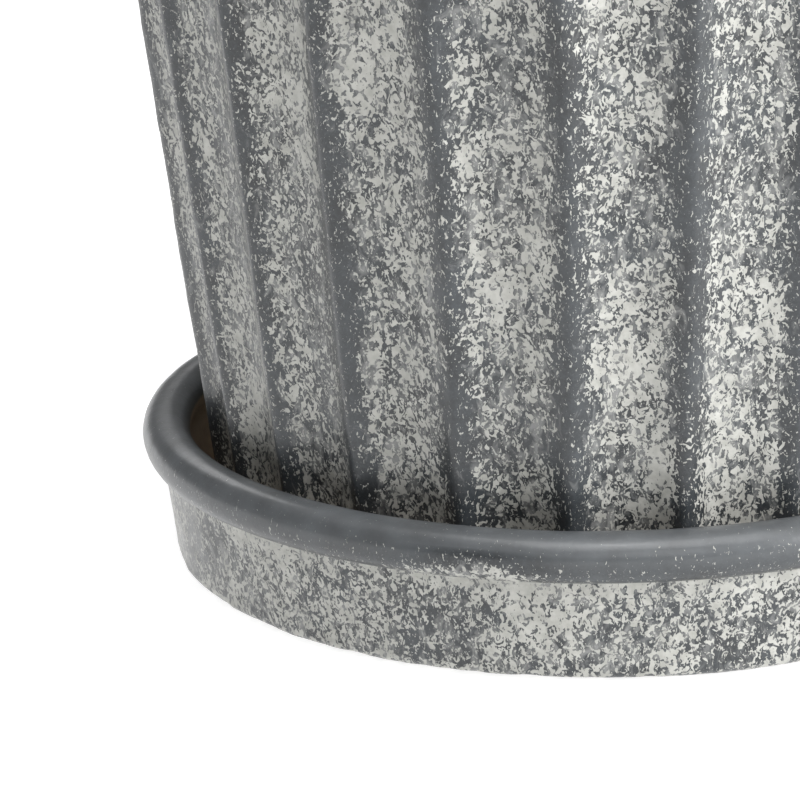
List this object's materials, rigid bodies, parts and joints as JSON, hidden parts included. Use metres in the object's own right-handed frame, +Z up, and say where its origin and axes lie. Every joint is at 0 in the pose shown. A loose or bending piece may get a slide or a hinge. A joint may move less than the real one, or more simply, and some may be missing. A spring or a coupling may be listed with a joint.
{
  "type": "self watering planter",
  "caption": "Fluted glazed ceramic planter in a matching saucer, with a lift-out liner whose platform, wick cups, filling tube and float gauge water the soil from below.",
  "frame": {"origin": "middle of the footprint on the ground, under the saucer", "axes": "+Z up along the planter's axis, -Y to the front, +Y to the side of the filling tube, handles at -X and +X"},
  "size_m": [0.3347, 0.3348, 0.3],
  "materials": {
    "saucer_glaze": "satin grey glaze with off-white flecks, plain grey rim, brown glaze inside",
    "pot_glaze": "satin grey glaze with off-white flecks in the flutes",
    "felt": "pressed felt",
    "rubber": "matte moulded",
    "screen_steel": "perforated sheet",
    "liner_plastic": "fine moulded grain",
    "platform_plastic": "moulded",
    "pipe_plastic": "satin moulded",
    "bush_plastic": "natural acetal",
    "clear_plastic": "clear moulded plastic",
    "cap_plastic": "semi-gloss moulded",
    "float_foam": "closed-cell foam",
    "indicator_red": "gloss",
    "grip_plastic": "soft-touch",
    "steel": "drawn wire, zinc plated"
  },
  "bodies": {
    "saucer": {"saucer": "saucer_glaze", "saucer_pads": "felt", "standoff_pads": "rubber"},
    "pot": {"pot": "pot_glaze", "drain_screen": "screen_steel"},
    "liner": {"liner": "liner_plastic", "handle_pins": "steel", "overflow_pipe": "pipe_plastic", "overflow_washer": "rubber", "overflow_nut": "pipe_plastic"},
    "insert": {"separator": "platform_plastic", "wick_cups": "platform_plastic", "wick_felts": "felt", "fill_tube": "pipe_plastic", "fill_lock_ring": "pipe_plastic", "cap_pin": "steel", "gauge_tube": "pipe_plastic", "guide_bushes": "bush_plastic", "sight_cap": "clear_plastic"},
    "fill_cap": {"fill_cap": "cap_plastic"},
    "float": {"float_block": "float_foam", "indicator_rod": "bush_plastic", "indicator_tip": "indicator_red"},
    "left_handle": {"left_handle": "steel", "left_handle_grip": "grip_plastic"},
    "right_handle": {"right_handle": "steel", "right_handle_grip": "grip_plastic"},
    "drain_plug": {"drain_plug": "cap_plastic", "drain_plug_seal": "rubber"}
  },
  "joints": [
    {"name": "pot_lift", "type": "slide", "parent": "saucer", "child": "pot", "axis": [0, 0, 1], "range_m": [0, 0.045]},
    {"name": "liner_lift", "type": "slide", "parent": "pot", "child": "liner", "axis": [0, 0, 1], "range_m": [0, 0.285]},
    {"name": "insert_lift", "type": "slide", "parent": "liner", "child": "insert", "axis": [0, 0, 1], "range_m": [0, 0.255]},
    {"name": "fill_cap_hinge", "type": "hinge", "parent": "insert", "child": "fill_cap", "pos_m": [0, 0.11754, 0.2698], "axis": [-1, 0, 0], "range_deg": [0, 110]},
    {"name": "float_rise", "type": "slide", "parent": "insert", "child": "float", "axis": [0, 0, 1], "range_m": [0, 0.0254]},
    {"name": "left_handle_fold", "type": "hinge", "parent": "liner", "child": "left_handle", "pos_m": [-0.1256, 0, 0.27], "axis": [0, -1, 0], "range_deg": [0, 180]},
    {"name": "right_handle_fold", "type": "hinge", "parent": "liner", "child": "right_handle", "pos_m": [0.1256, 0, 0.27], "axis": [0, 1, 0], "range_deg": [0, 180]},
    {"name": "drain_plug_turn", "type": "hinge", "parent": "liner", "child": "drain_plug", "pos_m": [-0.08532, 0, 0.0274], "axis": [0, 0, 1], "range_deg": [0, 90]}
  ]
}
